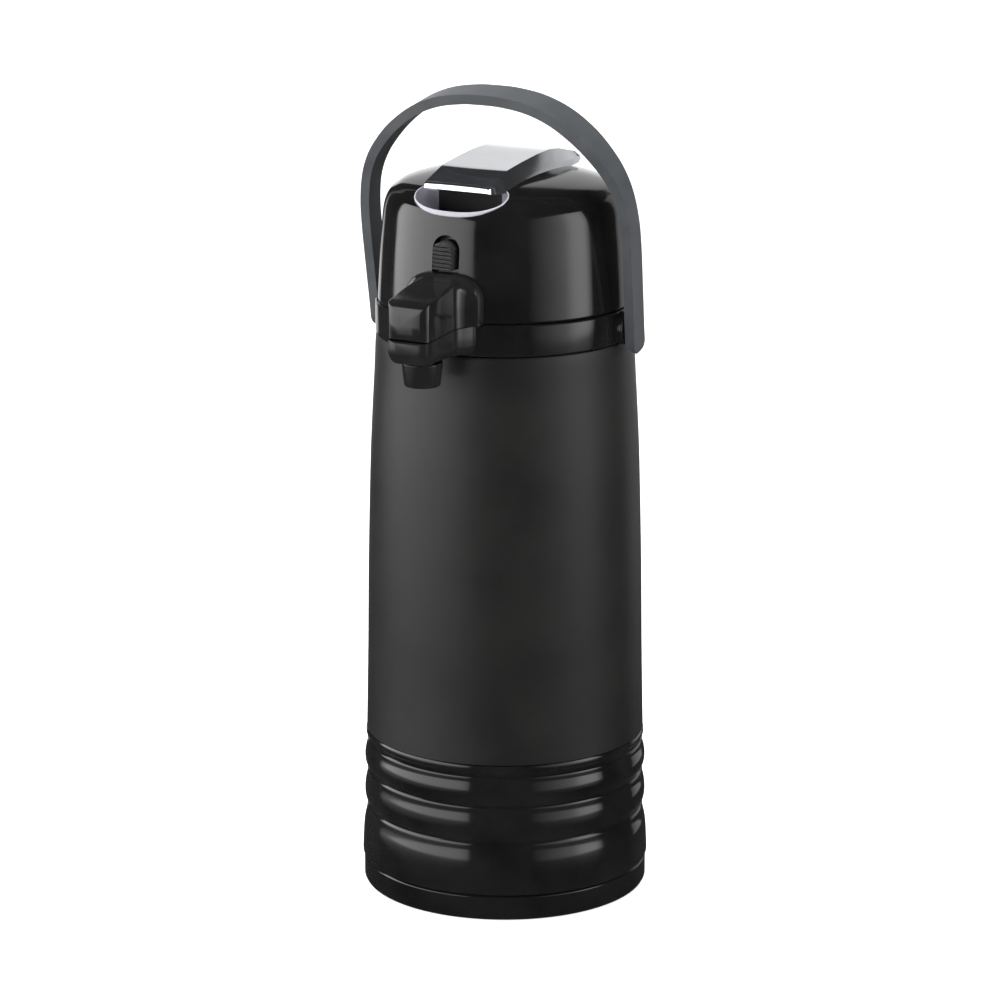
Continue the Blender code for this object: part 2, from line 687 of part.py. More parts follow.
def build_handle(mats):
    """The bail handle on its two pivot pins, leaning slightly towards the spout."""
    outer = (
        (71.9, -12.6), (73.3, -9.5), (73.5, 0.0), (74.0, 20.0), (74.4, 40.0), (74.0, 54.0),
        (72.0, 66.5), (68.2, 76.5), (62.4, 85.5), (52.6, 96.2), (39.5, 105.8), (25.5, 111.9),
        (11.0, 114.4), (0.0, 114.8),
    )
    half = []
    for i, (x, h) in enumerate(outer):
        before = outer[max(i - 1, 0)]
        after = outer[i + 1] if i + 1 < len(outer) else (-outer[i - 1][0], outer[i - 1][1])
        direction = Vector((after[0] - before[0], after[1] - before[1])).normalized()
        inward = Vector((-direction.y, direction.x))
        spread = min(max((h - 60.0) / 45.0, 0.0), 1.0)
        width = LEG_WIDTH + (GRIP_WIDTH - LEG_WIDTH) * spread * spread * (3.0 - 2.0 * spread)
        if i == 0:
            inward, width = Vector((-1.0, 0.0)), 7.4
        elif i == 1:
            inward, width = Vector((-1.0, 0.0)), 10.6
        thickness = HANDLE_THICKNESS - (1.6 if i == 0 else 0.0)
        half.append((Vector((x, h)), inward, width, thickness))
    stations = half + [
        (Vector((-p.x, p.y)), Vector((-n.x, n.y)), width, thickness)
        for p, n, width, thickness in reversed(half[:-1])
    ]
    sections = []
    for point, inward, width, thickness in stations:
        section = []
        for depth, reach in (
            (0.9, -0.5), (0.0, -0.5 + 0.09), (0.0, 0.5 - 0.09), (0.9, 0.5),
            (thickness - 0.9, 0.5), (thickness, 0.5 - 0.09), (thickness, -0.5 + 0.09),
            (thickness - 0.9, -0.5),
        ):
            place = point + inward * depth
            section.append((place.x, reach * width, place.y))
        sections.append(section)
    handle = lofted("handle", sections, mats["grip"])
    cut(handle, prism("handle_bore", circle(0.0, 0.0, 2.8), -71.6, 71.6, "X"))
    lean = Matrix.Rotation(HANDLE_LEAN, 4, "X")
    handle.location = (0.0, 0.0, HANDLE_HINGE_Z * MM)
    handle.rotation_euler = lean.to_euler()
    bpy.data.objects["handle_bore"].matrix_world = Matrix.Translation(handle.location) @ lean
    for side, sign in (("left", -1), ("right", 1)):
        low, high = sorted((sign * 60.4, sign * 71.2))
        pin = prism(
            f"{side}_handle_pin", circle(0.0, HANDLE_HINGE_Z, 2.5, 12), low, high, "X", mats["steel"]
        )
        set_pivot(pin, (0.0, 0.0, HANDLE_HINGE_Z))


def main():
    clear_scene()
    mats = build_materials()
    build_base(mats)
    build_body(mats)
    build_collar(mats)
    build_flow_path(mats)
    build_lid(mats)
    build_pump(mats)
    build_lever(mats)
    build_latch(mats)
    build_handle(mats)


main()
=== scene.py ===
# %% [markdown]
# # A pump-top coffee airpot
#
# The pot is a tall vacuum flask for serving coffee. A chrome lever on the lid pumps air into a
# glass liner, and the coffee rises through a tube and leaves by the spout. Its frame, made
# earlier as exact solids, gives every piece its place and its moving body. This lesson dresses
# that frame: each part that shows is modelled again with fine shape and a finish of its own.

# %% Load the frame
import math

import bmesh
import bpy
from mathutils import Matrix, Vector


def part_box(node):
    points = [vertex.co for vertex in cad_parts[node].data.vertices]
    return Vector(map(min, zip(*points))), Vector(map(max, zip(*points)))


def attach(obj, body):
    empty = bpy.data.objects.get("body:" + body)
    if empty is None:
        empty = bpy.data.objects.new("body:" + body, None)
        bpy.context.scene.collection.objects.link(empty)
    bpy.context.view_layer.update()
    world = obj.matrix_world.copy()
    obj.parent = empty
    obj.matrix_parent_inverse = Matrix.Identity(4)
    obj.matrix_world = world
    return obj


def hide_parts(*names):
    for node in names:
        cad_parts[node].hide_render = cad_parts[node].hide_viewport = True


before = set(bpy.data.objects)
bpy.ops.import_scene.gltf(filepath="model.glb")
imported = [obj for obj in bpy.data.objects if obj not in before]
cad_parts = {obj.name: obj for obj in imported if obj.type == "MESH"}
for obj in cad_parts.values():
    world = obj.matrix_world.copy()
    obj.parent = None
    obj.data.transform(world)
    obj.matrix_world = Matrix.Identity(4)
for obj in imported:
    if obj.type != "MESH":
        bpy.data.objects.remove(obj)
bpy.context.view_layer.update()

# %% [markdown]
# ## A camera at table height
#
# A long lens from two metres keeps the sides of a tall product almost parallel, as a catalogue
# picture does. The camera stands a little to the right of the spout and looks slightly down.

# %% The camera
CAMERA_TURN = math.radians(28.0)
CAMERA_PITCH = math.radians(14.86)
toward_camera = Vector((math.sin(CAMERA_TURN), -math.cos(CAMERA_TURN), 0.0))
right_of_camera = Vector((math.cos(CAMERA_TURN), math.sin(CAMERA_TURN), 0.0))

lens = bpy.data.cameras.new("catalogue_lens")
lens.lens = 149.6
lens.sensor_width = 36.0
camera = bpy.data.objects.new("catalogue_camera", lens)
camera.location = toward_camera * 2.0 - right_of_camera * 0.0025 + Vector((0.0, 0.0, 0.727))
camera.rotation_euler = (math.radians(90.0) - CAMERA_PITCH, 0.0, CAMERA_TURN)
bpy.context.scene.collection.objects.link(camera)
bpy.context.scene.camera = camera
print("camera at", [round(value, 3) for value in camera.location])

# %% [markdown]
# ## Modelling helpers
#
# Most of a moulded pot is either turned, like pottery, or pressed through a mould as a plain
# outline. Both start the same way by hand: one point is pulled along the profile, and the line
# is then spun about an axis, or filled and pulled straight. Millimetres are easier to read
# than metres, so the helpers take millimetres and change them once.

# %% Draw a line of points
MM = 0.001


def leave_all():
    """Back to object mode with nothing selected, because operators act on what is selected."""
    if bpy.context.object and bpy.context.object.mode != "OBJECT":
        bpy.ops.object.mode_set(mode="OBJECT")
    bpy.ops.object.select_all(action="DESELECT")


def draw_line(name, points):
    """A small plane collapsed to one point, which is then pulled along the other points."""
    leave_all()
    places = [Vector(point) * MM for point in points]
    bpy.ops.mesh.primitive_plane_add(size=0.001, location=places[0])
    piece = bpy.context.object
    piece.name = piece.data.name = name
    bpy.ops.object.transform_apply(location=True, rotation=True, scale=True)
    bpy.ops.object.mode_set(mode="EDIT")
    bpy.ops.mesh.select_mode(type="VERT")
    bpy.ops.mesh.select_all(action="SELECT")
    bpy.ops.mesh.merge(type="CENTER")
    for here, there in zip(places, places[1:]):
        bpy.ops.mesh.extrude_vertices_move(TRANSFORM_OT_translate={"value": there - here})
    return piece


def close_up(piece):
    """Merges doubled points, turns every face outwards and shades the piece smoothly."""
    if piece.mode != "EDIT":
        leave_all()
        piece.select_set(True)
        bpy.context.view_layer.objects.active = piece
        bpy.ops.object.mode_set(mode="EDIT")
    bpy.ops.mesh.select_all(action="SELECT")
    bpy.ops.mesh.remove_doubles(threshold=0.000002)
    bpy.ops.mesh.normals_make_consistent(inside=False)
    bpy.ops.object.mode_set(mode="OBJECT")
    bpy.ops.object.shade_smooth_by_angle(angle=math.radians(32.0))
    return piece


# %% Flowing curves and rounded corners
def flowing(points, between=4):
    """A smooth curve through all the points, with a few more between each pair."""
    points = [Vector(point) for point in points]
    padded = [points[0] * 2 - points[1], *points, points[-1] * 2 - points[-2]]
    curve = [points[0]]
    for before, here, there, after in zip(padded, padded[1:], padded[2:], padded[3:]):
        for step in range(1, between + 1):
            t = step / between
            curve.append(
                0.5
                * (
                    2 * here
                    + (there - before) * t
                    + (2 * before - 5 * here + 4 * there - after) * t * t
                    + (3 * here - before - 3 * there + after) * t**3
                )
            )
    return curve


def rounded(corners, steps=4):
    """A closed outline whose corners (a, b, radius) are rounded; radius 0 keeps one sharp."""
    outline = []
    for index, (a, b, radius) in enumerate(corners):
        corner = Vector((a, b))
        back = Vector(corners[index - 1][:2]) - corner
        ahead = Vector(corners[(index + 1) % len(corners)][:2]) - corner
        if radius == 0:
            outline.append(corner)
            continue
        half = back.angle(ahead) / 2
        reach = min(radius / math.tan(half), back.length * 0.49, ahead.length * 0.49)
        start = corner + back.normalized() * reach
        end = corner + ahead.normalized() * reach
        for step in range(steps + 1):
            t = step / steps
            outline.append(start * (1 - t) ** 2 + corner * 2 * t * (1 - t) + end * t * t)
    return outline


# %% Turn a profile, or pull an outline straight
ROUND_STEPS = 160


def turn(name, profile, steps=ROUND_STEPS, axis_at=(0.0, 0.0)):
    """A closed profile of (radius, height) spun about the vertical line at axis_at."""
    loop = [*profile, profile[0]]
    points = [(axis_at[0] + radius, axis_at[1], height) for radius, height in loop]
    piece = draw_line(name, points)
    bpy.ops.mesh.select_all(action="SELECT")
    bpy.ops.mesh.spin(
        steps=steps,
        angle=math.tau,
        center=(axis_at[0] * MM, axis_at[1] * MM, 0.0),
        axis=(0.0, 0.0, 1.0),
    )
    return close_up(piece)


def pull(name, outline, low, high, axis="Z"):
    """A closed outline filled and pulled from low to high. Axis X reads it as (y, z)."""
    place = {
        "X": lambda a, b, t: (t, a, b),
        "Y": lambda a, b, t: (a, t, b),
        "Z": lambda a, b, t: (a, b, t),
    }[axis]
    piece = draw_line(name, [place(a, b, low) for a, b in [*outline, outline[0]]])
    bpy.ops.mesh.select_all(action="SELECT")
    bpy.ops.mesh.remove_doubles(threshold=0.000002)
    bpy.ops.mesh.edge_face_add()
    way = Vector(place(0.0, 0.0, (high - low) * MM))
    bpy.ops.mesh.extrude_region_move(TRANSFORM_OT_translate={"value": way})
    return close_up(piece)


def circle(a, b, radius, steps=48):
    turns = [math.tau * step / steps for step in range(steps)]
    return [(a + radius * math.cos(turn), b + radius * math.sin(turn)) for turn in turns]


# %% Skin a row of lines
def skin(name, rows, closed_rows=False):
    """The first row is drawn, pulled to the next, and each point is then moved to its place."""
    first = [*rows[0], rows[0][0]] if closed_rows else rows[0]
    piece = draw_line(name, first)
    bpy.ops.mesh.select_all(action="SELECT")
    if closed_rows:
        bpy.ops.mesh.remove_doubles(threshold=0.000002)
        bpy.ops.mesh.select_all(action="SELECT")
    work = bmesh.from_edit_mesh(piece.data)
    work.verts.ensure_lookup_table()
    for before, row in zip(rows, rows[1:]):
        step = (Vector(row[0]) - Vector(before[0])) * MM
        bpy.ops.mesh.extrude_edges_move(TRANSFORM_OT_translate={"value": step})
        work = bmesh.from_edit_mesh(piece.data)
        moving = [vert for vert in work.verts if vert.select]
        targets = [Vector(point) * MM for point in row]
        starts = [Vector(point) * MM + step for point in before]
        for vert in moving:
            nearest = min(range(len(starts)), key=lambda k: (starts[k] - vert.co).length)
            vert.co = targets[nearest]
        bmesh.update_edit_mesh(piece.data)
    return piece


def cap_ends(piece):
    """Fills the open loops of a skin."""
    bpy.ops.mesh.select_all(action="DESELECT")
    bpy.ops.mesh.select_non_manifold(extend=False, use_verts=False)
    bpy.ops.mesh.edge_face_add()
    return close_up(piece)


# %% Finish with modifiers
def apply_modifier(piece, kind, **settings):
    leave_all()
    piece.select_set(True)
    bpy.context.view_layer.objects.active = piece
    modifier = piece.modifiers.new(kind.lower(), kind)
    for setting, value in settings.items():
        setattr(modifier, setting, value)
    bpy.ops.object.modifier_apply(modifier=modifier.name)
    return piece


def combine(piece, helper, operation):
    """Joins, cuts or trims the piece with a helper, which is then thrown away."""
    apply_modifier(piece, "BOOLEAN", solver="EXACT", operation=operation, object=helper)
    bpy.data.objects.remove(helper)
    return close_up(piece)


def face_up(piece, above):
    """Turns the active skin over when its faces above a height, in metres, look down."""
    upper = [face for face in piece.data.polygons if face.center.z > above]
    if sum(face.normal.z for face in upper) < 0:
        bpy.ops.object.mode_set(mode="EDIT")
        bpy.ops.mesh.select_all(action="SELECT")
        bpy.ops.mesh.flip_normals()
        bpy.ops.object.mode_set(mode="OBJECT")


def soften(piece, width, segments=3, angle=35.0):
    """Rounds the piece's edges, because no moulded edge is perfectly sharp."""
    apply_modifier(
        piece,
        "BEVEL",
        width=width * MM,
        segments=segments,
        limit_method="ANGLE",
        angle_limit=math.radians(angle),
        harden_normals=False,
    )
    return close_up(piece)


def place(piece, body, slot, material, *stands_for):
    """Gives a finished piece its material, its moving body and the frame nodes it stands for."""
    piece.data.materials.clear()
    piece.data.materials.append(material)
    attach(piece, body)
    if stands_for:
        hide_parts(*stands_for)
    print(piece.name, "on", body, len(piece.data.polygons), "faces")
    return piece


# %% [markdown]
# ## Finishes
#
# A finish is more than a colour. Moulded gloss plastic is nearly black, and shows itself by
# its reflections, which waver very slightly because the wall shrank unevenly as it cooled.
# Each finish below adds its own small variation with noise that is read in the piece's own
# coordinates, so it stays on the piece when the piece moves.

# %% Material helpers
def new_finish(name):
    material = bpy.data.materials.new(name)
    material.use_nodes = True
    return material, material.node_tree, material.node_tree.nodes["Principled BSDF"]


def noise(tree, scale, detail=3.0, stretch=(1.0, 1.0, 1.0)):
    """Noise in the piece's own coordinates; scale counts the blotches in one metre."""
    coordinates = tree.nodes.new("ShaderNodeTexCoord")
    mapping = tree.nodes.new("ShaderNodeMapping")
    mapping.inputs["Scale"].default_value = stretch
    texture = tree.nodes.new("ShaderNodeTexNoise")
    texture.inputs["Scale"].default_value = scale
    texture.inputs["Detail"].default_value = detail
    tree.links.new(coordinates.outputs["Object"], mapping.inputs["Vector"])
    tree.links.new(mapping.outputs["Vector"], texture.inputs["Vector"])
    return texture


def spread(tree, source, low, high, target):
    """Maps a noise to a range and links it to a socket."""
    ramp = tree.nodes.new("ShaderNodeMapRange")
    ramp.inputs["From Min"].default_value = 0.3
    ramp.inputs["From Max"].default_value = 0.7
    ramp.inputs["To Min"].default_value = low
    ramp.inputs["To Max"].default_value = high
    tree.links.new(source.outputs["Fac"], ramp.inputs["Value"])
    tree.links.new(ramp.outputs["Result"], target)


def tint(tree, source, dark, light, target):
    """Blends two colours by a noise."""
    ramp = tree.nodes.new("ShaderNodeValToRGB")
    ramp.color_ramp.elements[0].position = 0.35
    ramp.color_ramp.elements[0].color = (*dark, 1.0)
    ramp.color_ramp.elements[1].position = 0.65
    ramp.color_ramp.elements[1].color = (*light, 1.0)
    tree.links.new(source.outputs["Fac"], ramp.inputs["Fac"])
    tree.links.new(ramp.outputs["Color"], target)


def relief(tree, shader, layers):
    """Stacks bump layers of (noise, height in millimetres)."""
    normal = None
    for source, height in layers:
        bump = tree.nodes.new("ShaderNodeBump")
        bump.inputs["Strength"].default_value = 1.0
        bump.inputs["Distance"].default_value = height * MM
        tree.links.new(source.outputs["Fac"], bump.inputs["Height"])
        if normal:
            tree.links.new(normal, bump.inputs["Normal"])
        normal = bump.outputs["Normal"]
    tree.links.new(normal, shader.inputs["Normal"])


# %% Gloss black plastic
def gloss_black(name="gloss_black_moulding", wave=0.02, shade=(0.0045, 0.009), dull=(0.07, 0.12)):
    material, tree, shader = new_finish(name)
    shader.inputs["Specular IOR Level"].default_value = 0.55
    haze = noise(tree, 35.0, 4.0)
    tint(tree, haze, (shade[0],) * 3, (shade[1],) * 3, shader.inputs["Base Color"])
    spread(tree, haze, dull[0], dull[1], shader.inputs["Roughness"])
    ripple = noise(tree, 28.0, 1.0)
    skin_grain = noise(tree, 2600.0, 1.0)
    relief(tree, shader, [(ripple, wave), (skin_grain, 0.0006)])
    return material


# %% Matte shell and satin handle
def matte_shell():
    material, tree, shader = new_finish("matte_black_shell")
    shader.inputs["Specular IOR Level"].default_value = 0.5
    cloud = noise(tree, 22.0, 4.0)
    tint(tree, cloud, (0.0075, 0.0075, 0.0075), (0.012, 0.0115, 0.011), shader.inputs["Base Color"])
    spread(tree, cloud, 0.40, 0.47, shader.inputs["Roughness"])
    pebble = noise(tree, 2100.0, 2.0)
    relief(tree, shader, [(pebble, 0.035)])
    return material


def satin_grip():
    material, tree, shader = new_finish("satin_black_handle")
    shader.inputs["Specular IOR Level"].default_value = 0.5
    cloud = noise(tree, 60.0, 4.0)
    tint(tree, cloud, (0.052, 0.057, 0.062), (0.068, 0.073, 0.079), shader.inputs["Base Color"])
    spread(tree, cloud, 0.38, 0.48, shader.inputs["Roughness"])
    grain = noise(tree, 1900.0, 2.0)
    relief(tree, shader, [(grain, 0.02)])
    return material


# %% Metals
def bright_metal(name, color, dull, grain, stretch):
    material, tree, shader = new_finish(name)
    shader.inputs["Metallic"].default_value = 1.0
    smudge = noise(tree, 45.0, 5.0)
    warm = tuple(value * 0.93 for value in color)
    tint(tree, smudge, warm, color, shader.inputs["Base Color"])
    spread(tree, smudge, dull[0], dull[1], shader.inputs["Roughness"])
    relief(tree, shader, [(noise(tree, 900.0, 2.0, stretch), grain)])
    return material


# %% Plain plastics, rubbers and glass
def soft_plastic(name, dark, light, dull, grain, scale=1400.0):
    material, tree, shader = new_finish(name)
    blotch = noise(tree, 40.0, 4.0)
    tint(tree, blotch, dark, light, shader.inputs["Base Color"])
    spread(tree, blotch, dull[0], dull[1], shader.inputs["Roughness"])
    relief(tree, shader, [(noise(tree, scale, 2.0), grain)])
    return material


def silvered_glass():
    material, tree, shader = new_finish("silvered_glass")
    shader.inputs["Metallic"].default_value = 0.85
    cloud = noise(tree, 30.0, 4.0)
    tint(tree, cloud, (0.62, 0.66, 0.68), (0.74, 0.77, 0.79), shader.inputs["Base Color"])
    spread(tree, cloud, 0.04, 0.12, shader.inputs["Roughness"])
    relief(tree, shader, [(noise(tree, 60.0, 2.0), 0.03)])
    return material


finishes = {
    "gloss": gloss_black(),
    "spout": gloss_black("spout_moulding", 0.01, (0.009, 0.013), (0.11, 0.16)),
    "button": gloss_black("button_moulding", 0.005, (0.030, 0.040), (0.22, 0.30)),
    "matte": matte_shell(),
    "grip": satin_grip(),
    "chrome": bright_metal("chrome_plate", (0.80, 0.82, 0.85), (0.05, 0.09), 0.0006, (1, 1, 1)),
    "steel": bright_metal("brushed_steel", (0.60, 0.60, 0.61), (0.22, 0.34), 0.004, (1, 1, 9)),
    "glass": silvered_glass(),
    "cup": soft_plastic(
        "pale_grey_cup", (0.44, 0.43, 0.49), (0.50, 0.49, 0.55), (0.25, 0.35), 0.004
    ),
    # Black rubber for the pad and bellows, also used on the cup as painted shade.
    "rubber": soft_plastic(
        "black_rubber", (0.012, 0.012, 0.012), (0.026, 0.026, 0.026), (0.6, 0.8), 0.03
    ),
    "silicone": soft_plastic(
        "grey_silicone", (0.26, 0.26, 0.27), (0.36, 0.36, 0.37), (0.5, 0.7), 0.02
    ),
    "white": soft_plastic(
        "white_moulding", (0.62, 0.62, 0.60), (0.74, 0.74, 0.71), (0.35, 0.5), 0.01
    ),
}
print("finishes:", ", ".join(finishes))

# %% [markdown]
# ## The swivel base and the ribbed skirt
#
# The pot turns on a low ring that stays still on the counter. Above it, a glossy skirt hides
# the end of the metal shell and has rounded ribs to grip. Both are bodies of revolution, so
# one profile is drawn, with the creases between the ribs as tight valleys, and spun.

# %% Base ring
ring_profile = rounded(
    [
        (1.8, 7.0, 0), (1.8, 17.8, 0.4), (9.0, 17.8, 0.4), (9.0, 5.4, 0), (67.4, 5.4, 0),
        (67.4, 13.2, 0.3), (70.4, 13.2, 0.4), (71.3, 12.2, 0.8), (71.3, 2.0, 1.0),
        (70.4, 0.5, 0.6), (64.7, 0.5, 0.3), (64.7, 2.7, 0), (1.8, 2.7, 0),
    ]
)
base_ring = turn("swivel_base_ring", [tuple(point) for point in ring_profile])
place(base_ring, "base", "gloss_black", finishes["gloss"], "base_ring")

# %% Ribbed skirt
ribs = flowing([(69.8, 79.3), (69.95, 78.2), (69.85, 77.0), (69.0, 75.9), (68.8, 75.0)], 3)
ribs += flowing(
    [(68.8, 74.2), (69.3, 73.5), (69.45, 72.4), (69.55, 71.2), (69.9, 69.7), (70.4, 67.6),
     (70.65, 65.2), (70.5, 62.8), (69.9, 61.0), (69.1, 59.8)], 3
)
ribs += flowing(
    [(68.9, 58.6), (69.4, 57.8), (69.55, 56.6), (69.65, 55.2), (70.0, 53.4), (70.5, 51.0),
     (70.8, 47.8), (70.7, 45.0), (70.2, 42.8), (69.3, 41.3)], 3
)
ribs += flowing(
    [(69.1, 39.8), (69.6, 38.9), (69.8, 37.6), (69.95, 36.2), (70.35, 34.2), (71.0, 31.4),
     (71.45, 27.6), (71.75, 22.0), (71.98, 16.0), (71.95, 14.6)], 3
)
skirt_inside = [(71.6, 13.7), (66.4, 13.7), (66.4, 79.9)]
skirt_profile = [(69.4, 79.9), *[tuple(point) for point in ribs], *skirt_inside]
base_skirt = turn("ribbed_skirt", skirt_profile)
place(base_skirt, "pot", "gloss_black", finishes["gloss"], "base_skirt")

# %% [markdown]
# ## The matte shell
#
# The tall shell is thin drawn steel with a soft black coating. It tapers gently, and a bead at
# its top tucks under the collar. The wall is part of the profile, so the piece is closed.

# %% Shell
shell_outer = flowing(
    [(69.6, 80.3), (69.3, 93.0), (68.7, 124.0), (68.1, 166.0), (67.1, 207.0), (66.4, 228.0),
     (65.4, 248.0), (64.4, 266.0), (63.9, 278.0), (63.5, 282.3)]
)
shell_inner = [
    (63.1, 283.0), (62.3, 283.0), (62.6, 279.0), (63.2, 266.0), (64.2, 248.0), (65.9, 207.0),
    (67.3, 145.0), (67.8, 103.0), (67.9, 86.0), (64.9, 83.0), (64.9, 74.0), (66.1, 74.0),
    (66.1, 80.3),
]
body_shell = turn("matte_shell", [tuple(point) for point in shell_outer] + shell_inner)
place(body_shell, "pot", "matte_black", finishes["matte"], "body_shell")

# %% [markdown]
# ## The collar
#
# A glossy band joins the shell to the lid. It carries the two ears that the handle turns on
# and the hinge knuckles at the back. The ears and knuckles are pulled from outlines, softened
# and joined to the turned band, so the mould's one-piece look is kept.

# %% Collar band
collar_profile = rounded(
    [
        (63.2, 283.5, 0.3), (63.8, 284.3, 0.3), (63.8, 298.5, 0.5), (63.2, 299.1, 0.3),
        (59.0, 299.1, 0.3), (59.0, 282.0, 1.5), (34.0, 279.0, 1.0), (27.0, 277.6, 0.8),
        (27.0, 275.0, 0.8), (34.4, 275.0, 0), (34.4, 264.0, 0.4), (36.6, 264.0, 0.4),
        (36.6, 276.4, 0), (59.0, 279.2, 0), (59.6, 274.0, 0), (61.6, 274.0, 0), (61.6, 283.5, 0),
    ]
)
collar = turn("collar_band", [tuple(point) for point in collar_profile])
print("collar band", round(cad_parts["collar"].dimensions.x * 1000, 1), "mm across its ears")

# %% Ears, knuckles and holes
PIVOT_Z = 291.0
HINGE = (66.0, 299.3)
for sign in (-1, 1):
    low, high = sorted((sign * 60.6, sign * 67.8))
    ear = soften(pull("ear", circle(0.0, PIVOT_Z, 8.0), low, high, "X"), 0.6)
    combine(collar, ear, "UNION")
    low, high = sorted((sign * 60.0, sign * 75.0))
    combine(collar, pull("ear_bore", circle(0.0, PIVOT_Z, 2.8, 32), low, high, "X"), "DIFFERENCE")
    low, high = sorted((sign * 14.6, sign * 24.0))
    web = rounded(
        [
            (57.5, 289.0, 0), (66.0, 293.6, 3.0), (69.4, 299.3, 3.0), (66.0, 302.7, 3.2),
            (62.6, 299.0, 0), (57.5, 298.8, 0),
        ]
    )
    combine(collar, soften(pull("knuckle", web, low, high, "X"), 0.4), "UNION")
combine(collar, pull("notch", circle(*HINGE, 4.4), -14.4, 14.4, "X"), "DIFFERENCE")
combine(collar, pull("hinge_bore", circle(*HINGE, 1.8, 24), -30.0, 30.0, "X"), "DIFFERENCE")
combine(collar, pull("outlet", circle(0.0, 294.6, 3.8, 32), -70.0, -50.0, "Y"), "DIFFERENCE")
for sign in (-1, 1):
    low, high = sorted((sign * 7.0, sign * 13.0))
    window = rounded(
        [(-61.5, 289.0, 0.4), (-50.0, 289.0, 0.4), (-50.0, 295.0, 0.4), (-61.5, 295.0, 0.4)]
    )
    combine(collar, pull("catch_window", window, low, high, "X"), "DIFFERENCE")
place(collar, "pot", "gloss_black", finishes["gloss"], "collar")

# %% [markdown]
# ## The lid
#
# The lid is a tall dome that leans in as it rises, rolls over a tight shoulder and closes in a
# nearly flat crown. Its profile is spun with its wall, and then the finger recess, the latch
# slot and the hinge are cut and joined.

# %% Dome
dome_outer = flowing(
    [(62.55, 300.2), (62.5, 303.0), (61.4, 324.0), (60.4, 336.0), (59.5, 345.0), (58.2, 350.0),
     (56.4, 353.4), (53.6, 355.8), (48.0, 358.9), (35.0, 362.0), (20.0, 363.5), (9.6, 364.1)]
)
dome_inner = [
    (9.6, 361.5), (20.0, 361.0), (35.0, 359.5), (46.8, 356.5), (52.4, 353.2), (55.0, 350.4),
    (57.1, 344.6), (58.0, 336.0), (59.1, 324.0), (60.2, 303.0), (60.2, 299.5), (62.2, 299.5),
]
dome_line = [tuple(point) for point in dome_outer]
lid = turn("lid_dome", dome_line + dome_inner)
print("dome is", round(dome_line[-1][1] - 299.5, 1), "mm tall")

# %% Hinge, lugs and slots in the lid
knuckle = rounded(
    [
        (60.5, 299.5, 0), (62.8, 296.4, 2.6), (66.0, 295.9, 3.0), (69.4, 299.3, 3.2),
        (66.0, 302.7, 3.0), (60.5, 305.0, 0),
    ]
)
combine(lid, soften(pull("lid_knuckle", knuckle, -14.1, 14.1, "X"), 0.4), "UNION")
combine(lid, pull("lid_hinge_bore", circle(*HINGE, 1.8, 24), -20.0, 20.0, "X"), "DIFFERENCE")
lug = rounded([(38.4, 360.4, 0), (43.0, 359.4, 0), (43.3, 366.4, 1.6), (39.6, 366.4, 1.6)])
lug_block = rounded([(-59.3, 339.0, 0), (-49.3, 339.0, 1.0), (-49.3, 346.0, 1.0), (-58.4, 346.0, 0)])
for sign in (-1, 1):
    low, high = sorted((sign * 9.0, sign * 12.5))
    combine(lid, pull("lever_lug", lug, low, high, "X"), "UNION")
    low, high = sorted((sign * 6.6, sign * 9.6))
    combine(lid, pull("latch_block", lug_block, low, high, "X"), "UNION")
combine(lid, pull("lug_bore", circle(41.5, 364.8, 1.3, 24), -14.0, 14.0, "X"), "DIFFERENCE")
combine(lid, pull("latch_bore", circle(-51.5, 342.5, 1.5, 24), -12.0, 12.0, "X"), "DIFFERENCE")
slot_outline = [(-7.3, 317.0), (7.3, 317.0)] + [
    (7.3 * math.cos(math.pi * step / 24), 333.7 + 7.3 * math.sin(math.pi * step / 24))
    for step in range(25)
]
combine(lid, pull("latch_slot", slot_outline, -66.0, -54.5, "Y"), "DIFFERENCE")


MOUTH_STEPS = 120
MOUTH_SQUARENESS = 2.05


def recess_outline(grow):
    """The recess's mouth from above: nearly an ellipse, wider than it is deep."""
    half, front, back = 25.2 + grow, -58.3 - grow, -31.0 + grow
    outline = []
    for step in range(MOUTH_STEPS):
        around = math.tau * step / MOUTH_STEPS
        power = 2 / MOUTH_SQUARENESS
        a = abs(math.cos(around)) ** power * math.copysign(1, math.cos(around))
        b = abs(math.sin(around)) ** power * math.copysign(1, math.sin(around))
        outline.append((half * a, (front + back) / 2 + (back - front) / 2 * b))
    return outline


combine(lid, pull("recess_mouth", recess_outline(0.0), 346.4, 380.0), "DIFFERENCE")
place(lid, "lid", "gloss_black", finishes["gloss"], "lid_cover")

# %% [markdown]
# ## The finger recess
#
# Under the lever's lip a scooped cup lets fingertips in. It is a separate liner of pale grey
# plastic. The middle of its floor and back wall is painted black as shade, standing in for the
# shadowed hollow under the lever's lip. The cup starts as the mouth's outline, is pulled up,
# and its inside is cut with a smaller outline, which leaves an even wall.


# %% Cup and its painted shade
def dome_block(name, offset):
    """The dome's outer surface as one solid, for trimming pieces to it."""
    profile = [(radius + offset, height + offset * 0.5) for radius, height in dome_line]
    return turn(name, [(0.0, 290.0), (62.55 + offset, 290.0), *profile, (0.0, 364.2 + offset)])


